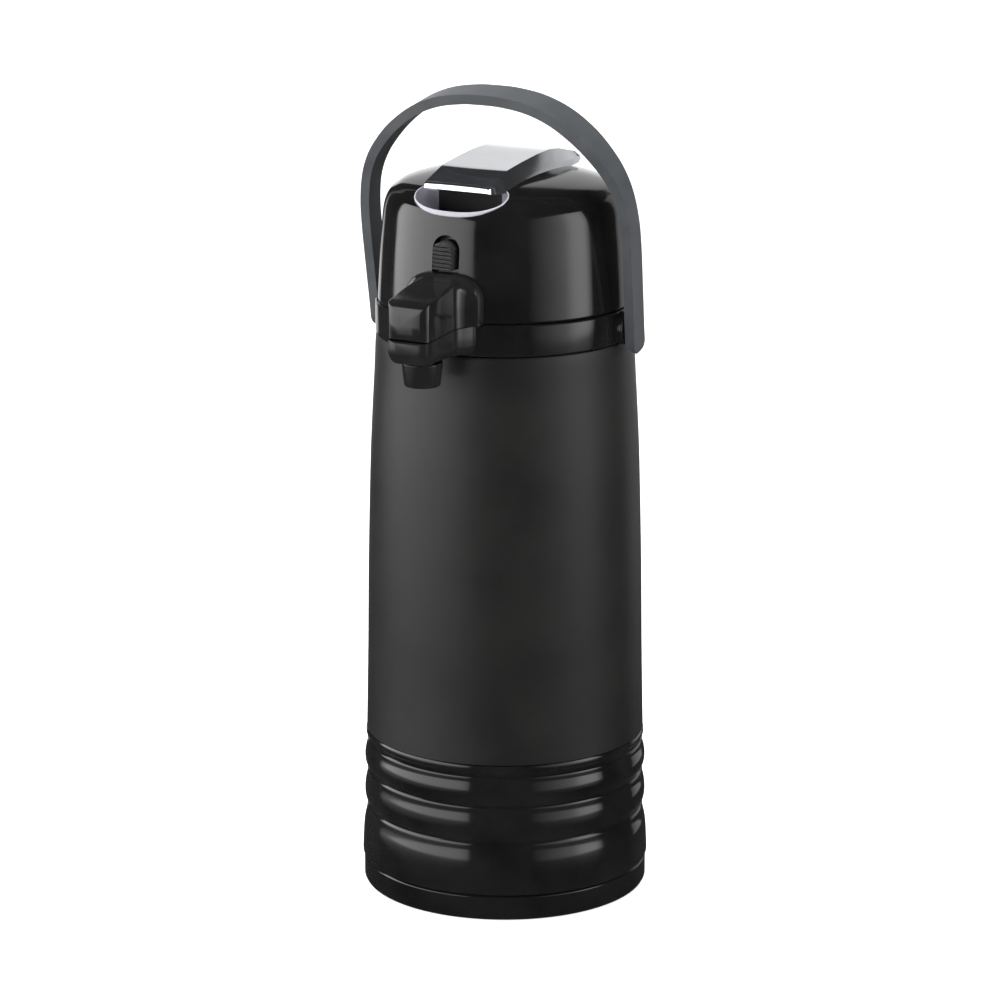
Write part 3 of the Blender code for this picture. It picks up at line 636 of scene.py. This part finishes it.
CUP_FOOT = 346.7
CUP_FLOOR = 347.9
PAINTED_SHADE_HALF = 17.2
cup = pull("finger_cup", recess_outline(-0.4), CUP_FOOT, 372.0)
combine(cup, dome_block("cup_trim", 0.0), "INTERSECT")
combine(cup, pull("cup_scoop", recess_outline(-1.0), CUP_FLOOR, 380.0), "DIFFERENCE")
place(cup, "lid", "white_plastic", finishes["cup"], "finger_recess")
# The second finish is black, painted shade for the shadowed hollow under the lever's lip.
cup.data.materials.append(finishes["rubber"])
for side in (-1, 1):
    # A cut line on each side of the middle, where the painted shade starts.
    leave_all()
    cup.select_set(True)
    bpy.context.view_layer.objects.active = cup
    bpy.ops.object.mode_set(mode="EDIT")
    bpy.ops.mesh.select_all(action="SELECT")
    bpy.ops.mesh.bisect(plane_co=(side * PAINTED_SHADE_HALF * MM, 0.0, 0.0), plane_no=(1.0, 0.0, 0.0))
    bpy.ops.object.mode_set(mode="OBJECT")
rim_height = max(vert.co.z for vert in cup.data.vertices)
FLOOR_BELOW = 0.3485
BACK_FROM = -0.045
# Faces in the middle of the floor and back wall take the black finish: painted shade where the
# hollow under the lip lies in shadow.
for face in cup.data.polygons:
    on_floor = face.normal.z > 0.9 and face.center.z < FLOOR_BELOW
    at_back = face.center.y > BACK_FROM
    in_middle = abs(face.center.x) < PAINTED_SHADE_HALF * MM
    face.material_index = 1 if in_middle and (on_floor or at_back) else 0
print("cup rim at", round(rim_height * 1000, 1), "mm")

# %% [markdown]
# ## The spout
#
# The spout is split: its cover is moulded to the lid, and its lower half stays on the pot with
# the nozzle. The cover is skinned from arched ribs that are wide at the boss, narrow quickly
# and then slope down to the front.


# %% Arched ribs
def arch(y, half, foot, top, corner, crown=0.0, steps=6):
    """One rib of the spout seen from the front: straight sides, round corners, a slight crown."""
    points = [(-half, y, foot), (-half, y, foot + (top - corner - foot) * 0.5)]
    for step in range(steps + 1):
        turned = math.pi / 2 * step / steps
        points.append(
            (-half + corner - corner * math.cos(turned), y, top - corner + corner * math.sin(turned))
        )
    points.append((0.0, y, top + crown))
    return points + [(-x, station, z) for x, station, z in reversed(points[:-1])]


cover_ribs = [
    arch(-54.0, 20.0, 299.4, 323.2, 13.0),
    arch(-64.6, 20.0, 299.4, 323.2, 13.0),
    arch(-65.4, 19.8, 299.3, 323.0, 12.9),
    arch(-65.9, 19.2, 299.3, 322.6, 12.5),
    arch(-66.6, 17.2, 299.2, 322.0, 11.0),
    arch(-67.6, 15.2, 299.1, 321.6, 8.6),
    arch(-69.2, 13.4, 299.0, 321.1, 5.6, 0.1),
    arch(-71.4, 12.1, 298.8, 320.6, 3.2, 0.1),
    arch(-74.6, 11.4, 298.6, 319.9, 1.8, 0.1),
    arch(-85.0, 11.3, 297.9, 317.8, 1.3, 0.1),
    arch(-95.4, 11.2, 297.2, 315.7, 1.2, 0.1),
    arch(-97.0, 11.0, 297.1, 315.2, 1.2, 0.1),
    arch(-98.3, 10.4, 297.1, 314.4, 1.2, 0.1),
    arch(-99.2, 9.2, 297.3, 313.2, 1.2, 0.1),
    arch(-99.8, 6.8, 298.2, 311.4, 1.2),
    arch(-100.0, 3.0, 300.6, 308.6, 1.0),
]
spout_cover = cap_ends(skin("spout_cover_moulding", cover_ribs, True))
combine(spout_cover, dome_block("spout_seat", 0.35), "DIFFERENCE")
hollow = rounded([(-8.6, -97.0, 1.5), (8.6, -97.0, 1.5), (8.6, -68.5, 1.5), (-8.6, -68.5, 1.5)])
combine(spout_cover, pull("spout_hollow", hollow, 290.0, 311.0), "DIFFERENCE")
place(spout_cover, "lid", "gloss_black", finishes["spout"], "spout_cover")


# %% Lower half
def trough(y, half, top, bottom, corner):
    """One rib of the lower half: the same arch turned over."""
    return [(x, station, top - z) for x, station, z in arch(y, half, 0.0, top - bottom, corner)]


lower_ribs = [
    trough(-57.0, 17.8, 298.9, 284.6, 5.0),
    trough(-62.5, 17.0, 298.8, 284.6, 5.0),
    trough(-65.5, 15.8, 298.7, 284.6, 5.0),
    trough(-68.5, 13.6, 298.5, 284.5, 5.0),
    trough(-71.5, 12.0, 298.3, 284.4, 5.0),
    trough(-75.0, 11.4, 298.1, 284.3, 5.0),
    trough(-85.0, 11.3, 297.4, 284.2, 5.0),
    trough(-94.0, 11.2, 296.8, 284.4, 5.0),
    trough(-97.0, 11.0, 296.6, 285.0, 5.0),
    trough(-98.6, 10.4, 296.5, 286.2, 5.0),
    trough(-99.5, 9.0, 296.4, 288.0, 4.4),
    trough(-100.0, 6.0, 295.6, 290.4, 2.6),
]
spout_lower = cap_ends(skin("spout_lower_half", lower_ribs, True))
seat = turn("shell_seat", [(0.0, 270.0), (64.2, 270.0), (64.2, 310.0), (0.0, 310.0)])
combine(spout_lower, seat, "DIFFERENCE")
channel = rounded([(-4.4, -90.5, 2.0), (4.4, -90.5, 2.0), (4.4, -50.0, 0), (-4.4, -50.0, 0)])
combine(spout_lower, pull("channel", channel, 290.6, 305.0), "DIFFERENCE")
combine(spout_lower, pull("nozzle_socket", circle(0.0, -84.0, 5.3), 280.0, 292.0), "DIFFERENCE")
place(spout_lower, "pot", "gloss_black", finishes["spout"], "spout_lower")

# %% Nozzle
nozzle_profile = rounded(
    [
        (3.8, 272.5, 0.3), (8.3, 272.5, 0.5), (8.8, 273.4, 0.6), (9.9, 283.6, 0.4),
        (9.6, 284.2, 0.3), (4.9, 284.2, 0), (4.9, 290.2, 0.3), (3.8, 290.2, 0.3),
    ]
)
nozzle = turn("nozzle_tip", [tuple(point) for point in nozzle_profile], 72, (0.0, -84.0))
place(nozzle, "pot", "gloss_black", finishes["spout"], "nozzle")

# %% [markdown]
# ## The latch button
#
# A ribbed button above the spout frees two hooked arms from the collar. Its ribbed side
# profile is pulled across, and a round-topped outline trims it, as the mould's slide would.

# %% Button face
rib_line = [(-56.2, 324.6)]
for rib in range(7):
    low = 324.6 + 1.95 * rib
    rib_line += [(-63.5, low), (-64.8, low + 0.25), (-65.0, low + 0.6), (-65.0, low + 1.1)]
    rib_line += [(-64.6, low + 1.4), (-63.5, low + 1.6)]
rib_line += [(-62.8, 338.4), (-55.4, 338.4)]
latch = pull("latch_press_button", rib_line, -4.9, 4.9, "X")
top_outline = [(-4.9, 324.0), (4.9, 324.0)] + [
    (4.9 * math.cos(math.pi * step / 24), 333.5 + 4.9 * math.sin(math.pi * step / 24))
    for step in range(25)
]
combine(latch, pull("button_trim", top_outline, -70.0, -50.0, "Y"), "INTERSECT")
soften(latch, 0.12, 2, 50.0)
print("button is", round(latch.dimensions.z * 1000, 1), "mm tall")

# %% Hooked arms behind the button
tongue = rounded(
    [
        (-58.0, 320.0, 0.5), (-54.6, 320.0, 0.5), (-50.4, 337.0, 1), (-49.4, 342.5, 1),
        (-51.5, 345.0, 1), (-53.9, 342.5, 1), (-55.2, 337.0, 1),
    ]
)
combine(latch, pull("tongue", tongue, -5.9, 5.9, "X"), "UNION")
bar = [(-57.0, 318.0), (-54.2, 318.0), (-53.8, 322.5), (-56.6, 322.5)]
combine(latch, pull("arm_bar", bar, -12.6, 12.6, "X"), "UNION")
hook = [
    (-56.9, 318.4), (-56.9, 299.0), (-56.7, 294.4), (-59.6, 294.0), (-59.4, 292.8),
    (-56.7, 290.2), (-54.9, 290.2), (-54.3, 299.0), (-54.1, 318.4),
]
for sign in (-1, 1):
    low, high = sorted((sign * 8.0, sign * 12.2))
    combine(latch, pull("hook", hook, low, high, "X"), "UNION")
combine(latch, pull("latch_pin_bore", circle(-51.5, 342.5, 1.5, 24), -12.0, 12.0, "X"), "DIFFERENCE")
place(latch, "latch", "gloss_black", finishes["button"], "latch_button")

# %% [markdown]
# ## The lever
#
# The lever is pressed from sheet and chromed. Seen from the front it has a bright lip, a dark
# slope up to a flat thumb plate, and bevelled flanks that reach down to the dome. One skin of
# cross lines gives all of these their edges. The sheet then gets its thickness inwards.


# %% Cross lines of the lever
def cross_line(y, foot, knee, edge, crown=0.0):
    """Half of the line is given: the flank's foot, its knee and the plate's edge, as (x, z)."""
    near_edge = (edge[0] * 0.92, edge[1] + crown * 0.25)
    half_way = (edge[0] * 0.5, edge[1] + crown * 0.8)
    half = [foot, knee, edge, near_edge, half_way]
    left = [(-x, y, z) for x, z in half]
    return left + [(0.0, y, edge[1] + crown)] + [(x, y, z) for x, z in reversed(half)]


lever_lines = [
    cross_line(-49.3, (16.8, 360.2), (16.6, 360.1), (16.2, 360.0), 0.0),
    cross_line(-50.0, (17.2, 360.6), (17.1, 360.7), (16.8, 360.8), 0.0),
    cross_line(-50.0, (17.4, 360.7), (17.3, 362.4), (16.9, 362.9), 0.3),
    cross_line(-49.2, (17.8, 360.5), (17.7, 362.9), (17.2, 363.6), 0.35),
    cross_line(-48.0, (18.3, 360.2), (18.1, 363.0), (17.4, 364.0), 0.35),
    cross_line(-41.0, (20.8, 359.6), (19.2, 363.0), (17.5, 366.1), 0.25),
    cross_line(-33.0, (21.9, 360.2), (20.2, 363.2), (17.6, 368.5), 0.1),
    cross_line(-30.6, (22.0, 360.6), (20.4, 363.4), (17.6, 369.1), 0.0),
    cross_line(-29.4, (22.0, 360.8), (20.4, 363.5), (17.6, 369.3), 0.0),
    cross_line(-16.0, (21.6, 362.0), (20.2, 364.6), (17.6, 370.8), 0.0),
    cross_line(0.0, (21.2, 362.8), (20.0, 365.4), (17.5, 372.1), 0.0),
    cross_line(14.0, (20.7, 362.6), (19.8, 365.4), (17.3, 372.5), 0.0),
    cross_line(24.0, (20.4, 362.2), (19.8, 365.0), (17.3, 371.3), 0.0),
    cross_line(33.0, (20.1, 361.6), (19.7, 364.6), (17.2, 369.2), 0.0),
    cross_line(40.0, (19.8, 361.8), (19.4, 364.6), (17.0, 367.6), 0.0),
    cross_line(43.6, (19.2, 363.2), (18.8, 364.8), (16.6, 366.6), 0.0),
    cross_line(45.2, (18.2, 364.2), (16.9, 364.9), (16.0, 365.6), 0.0),
]
lever = skin("chrome_lever", lever_lines)
close_up(lever)
print("lever skin has", len(lever.data.vertices), "points")

# %% Thickness and rounded edges
lever_top = max(vert.co.z for vert in lever.data.vertices)
face_up(lever, lever_top - 0.002)
apply_modifier(lever, "SOLIDIFY", thickness=0.0016, offset=-1.0, use_even_offset=False)
close_up(lever)
soften(lever, 0.45, 3, 18.0)
combine(lever, pull("lever_bore", circle(41.5, 364.8, 1.3, 24), -18.6, 18.6, "X"), "DIFFERENCE")
place(lever, "lever", "chrome_plate", finishes["chrome"], "lever")

# %% [markdown]
# ## The bail handle
#
# A flat strap swings over the lid from one ear to the other. It is narrow along its legs and
# wide where the hand holds it. The arch is drawn as a line, pulled to a ribbon, narrowed row
# by row, and then thickened and rounded.

# %% Arch and ribbon
LEAN = math.radians(8.0)
half_arch = flowing(
    [(71.9, -12.6), (73.0, -10.6), (73.4, -7.0), (73.5, 0.0), (74.0, 20.0), (74.4, 40.0),
     (74.0, 54.0), (72.0, 66.5), (68.2, 76.5), (62.4, 85.5), (52.6, 96.2), (39.5, 105.8),
     (25.5, 111.6), (11.0, 114.1), (0.0, 114.5)], 5
)
arch_line = [(x, h) for x, h in half_arch] + [(-x, h) for x, h in reversed(half_arch[:-1])]


def strap_width(h):
    """Round at the foot, narrow along the leg and wide at the grip, in millimetres."""
    spread_out = min(max((h - 60.0) / 45.0, 0.0), 1.0)
    width = 11.5 + 6.5 * spread_out * spread_out * (3.0 - 2.0 * spread_out)
    below = min(h + 6.85, 0.0)
    return width * math.sqrt(max(1.0 - (below / 5.76) ** 2, 0.02))


rows = []
for share in (-0.5, -0.25, 0.0, 0.25, 0.5):
    rows.append([(x, share * strap_width(h), PIVOT_Z + h) for x, h in arch_line])
handle = skin("bail_handle", rows)
close_up(handle)
CROWN_ABOVE = 0.4
face_up(handle, CROWN_ABOVE)
apply_modifier(handle, "SOLIDIFY", thickness=0.005, offset=-1.0, use_even_offset=True)
close_up(handle)
soften(handle, 0.8, 3, 40.0)
combine(handle, pull("handle_bore", circle(0.0, PIVOT_Z, 2.8, 32), -71.6, 71.6, "X"), "DIFFERENCE")
print("handle rows", len(arch_line))

# %% Lean the handle
bpy.ops.object.mode_set(mode="EDIT")
bpy.ops.mesh.select_all(action="SELECT")
bpy.ops.transform.rotate(
    value=-LEAN, orient_axis="X", center_override=(0.0, 0.0, PIVOT_Z * MM)
)
bpy.ops.object.mode_set(mode="OBJECT")
place(handle, "handle", "satin_grip", finishes["grip"], "handle")
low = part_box("handle")[0]
leans_to = min(vert.co.y for vert in handle.data.vertices)
print("handle leans to y", round(leans_to, 4), "frame", round(low.y, 4))

# %% [markdown]
# ## Pieces kept from the frame
#
# Pins, springs, tubes and gaskets inside the pot already have their final shape. They keep
# it, and each takes the finish of the stuff it is made of.

# %% Finishes for kept pieces
kept = {
    "rubber": ("base_pad", "bellows"),
    "silicone": ("liner_cushion", "neck_gasket", "stopper_gasket", "air_valve", "air_boot"),
    "white": (
        "glide_ring", "stopper", "dip_tube", "tube_nut", "outlet_elbow", "lid_base", "plunger",
    ),
    "steel": (
        "swivel_washer", "swivel_screw", "lid_hinge_pin", "lever_pin", "latch_pin",
        "return_spring", "left_handle_pin", "right_handle_pin",
    ),
    "glass": ("vacuum_liner",),
    "gloss": ("bottom_plate",),
}
for finish, names in kept.items():
    for name in names:
        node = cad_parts[name]
        if not node.material_slots:
            node.data.materials.append(finishes[finish])
        for material_slot in node.material_slots:
            material_slot.material = finishes[finish]
print("kept", sum(len(names) for names in kept.values()), "frame pieces")

# %% [markdown]
# ## Floor and light
#
# Black gloss shows nothing but what it reflects, so the lights are placed for their mirror
# images: a tall soft box on the left for the broad pale zone, a narrower one on the right for
# the strip, a dim one at the right rear for the thin line beside it, and a white sheet behind
# for the crown of the lid and the chrome. The boxes glow but cast no shadow, and they fade
# towards their edges. A large scrim overhead lifts the matte parts and shows in no reflection.

# %% Pale floor
leave_all()
bpy.ops.mesh.primitive_plane_add(size=120.0, location=(0.0, 0.0, 0.0))
floor = bpy.context.object
floor.name = "pale_floor"
floor_finish, floor_tree, floor_shader = new_finish("pale_floor_paper")
floor_shader.inputs["Base Color"].default_value = (0.75, 0.75, 0.75, 1.0)
floor_shader.inputs["Roughness"].default_value = 0.9
floor_shader.inputs["Emission Color"].default_value = (1.0, 1.0, 1.0, 1.0)
floor_shader.inputs["Emission Strength"].default_value = 0.85
floor.data.materials.append(floor_finish)
floor.visible_glossy = False


# %% Soft boxes
def fade(tree, source, channel, stops):
    """Brightness along one side of a box, as (share of the side, brightness) stops."""
    apart = tree.nodes.new("ShaderNodeSeparateXYZ")
    tree.links.new(source, apart.inputs["Vector"])
    ramp = tree.nodes.new("ShaderNodeFloatCurve")
    curve = ramp.mapping.curves[0]
    curve.points[0].location = stops[0]
    curve.points[1].location = stops[-1]
    for stop in stops[1:-1]:
        curve.points.new(*stop)
    ramp.mapping.update()
    shift = tree.nodes.new("ShaderNodeMath")
    shift.operation = "ADD"
    shift.inputs[1].default_value = 0.5
    tree.links.new(apart.outputs[channel], shift.inputs[0])
    tree.links.new(shift.outputs["Value"], ramp.inputs["Value"])
    return ramp.outputs["Value"]


def soft_box(name, around, distance, foot, head, width, brightness, across, upward):
    """A glowing sheet at an angle round from the camera, left positive, that fades at its edges."""
    turned = math.radians(around)
    way = toward_camera * math.cos(turned) - right_of_camera * math.sin(turned)
    leave_all()
    bpy.ops.mesh.primitive_plane_add(size=1.0)
    sheet = bpy.context.object
    sheet.name = name
    sheet.scale = (width, head - foot, 1.0)
    sheet.location = way * distance + Vector((0.0, 0.0, (foot + head) / 2))
    inward = -way
    side = Vector((0.0, 0.0, 1.0)).cross(inward)
    turn_to = Matrix((side, Vector((0.0, 0.0, 1.0)), inward)).transposed()
    sheet.rotation_euler = turn_to.to_euler()
    glow = bpy.data.materials.new(name + "_glow")
    glow.use_nodes = True
    tree = glow.node_tree
    tree.nodes.clear()
    output = tree.nodes.new("ShaderNodeOutputMaterial")
    light = tree.nodes.new("ShaderNodeEmission")
    coordinates = tree.nodes.new("ShaderNodeTexCoord")
    strength = tree.nodes.new("ShaderNodeMath")
    strength.operation = "MULTIPLY"
    level = tree.nodes.new("ShaderNodeMath")
    level.operation = "MULTIPLY"
    level.inputs[1].default_value = brightness
    tree.links.new(fade(tree, coordinates.outputs["Object"], "X", across), strength.inputs[0])
    tree.links.new(fade(tree, coordinates.outputs["Object"], "Y", upward), strength.inputs[1])
    tree.links.new(strength.outputs["Value"], level.inputs[0])
    tree.links.new(level.outputs["Value"], light.inputs["Strength"])
    tree.links.new(light.outputs["Emission"], output.inputs["Surface"])
    sheet.data.materials.append(glow)
    sheet.visible_camera = False
    sheet.visible_shadow = False
    print(name, "faces", [round(value, 2) for value in inward])
    return sheet


LEFT_ACROSS = [(0.0, 0.0), (0.1, 0.55), (0.35, 0.75), (0.65, 0.95), (0.9, 1.0), (1.0, 0.0)]
RIGHT_ACROSS = [(0.0, 0.0), (0.06, 0.5), (0.22, 1.0), (0.5, 0.45), (1.0, 0.0)]
UPWARD = [(0.0, 0.0), (0.22, 0.25), (0.3, 0.9), (0.8, 1.0), (1.0, 0.85)]
soft_box("left_box", 74.0, 1.5, -0.45, 1.15, 3.1, 3.4, LEFT_ACROSS, UPWARD)
soft_box("right_box", -52.0, 1.5, -0.45, 1.15, 1.9, 3.0, RIGHT_ACROSS, UPWARD)
soft_box(
    "right_rear_box", -137.0, 1.6, -0.3, 1.15, 0.75, 0.75,
    [(0.0, 0.0), (0.25, 0.8), (0.75, 0.8), (1.0, 0.0)], [(0.0, 0.9), (0.5, 1.0), (1.0, 0.8)],
)
soft_box(
    "back_sheet", 180.0, 2.6, -0.4, 2.1, 2.7, 1.1,
    [(0.0, 0.0), (0.12, 1.0), (0.88, 1.0), (1.0, 0.0)],
    [(0.0, 0.4), (0.2, 1.0), (0.38, 1.0), (0.5, 0.68), (0.92, 0.6), (1.0, 0.0)],
)

leave_all()
bpy.ops.object.light_add(type="AREA", location=(0.0, 0.0, 1.7))
overhead = bpy.context.object
overhead.name = "overhead_scrim"
overhead.data.shape = "SQUARE"
overhead.data.size = 1.6
overhead.data.energy = 40.0
overhead.visible_glossy = False

world = bpy.data.worlds.new("studio_air")
world.use_nodes = True
world.node_tree.nodes["Background"].inputs["Color"].default_value = (1.0, 1.0, 1.0, 1.0)
world.node_tree.nodes["Background"].inputs["Strength"].default_value = 0.04
bpy.context.scene.world = world
bpy.context.scene.view_settings.view_transform = "Standard"
bpy.context.scene.view_settings.look = "None"
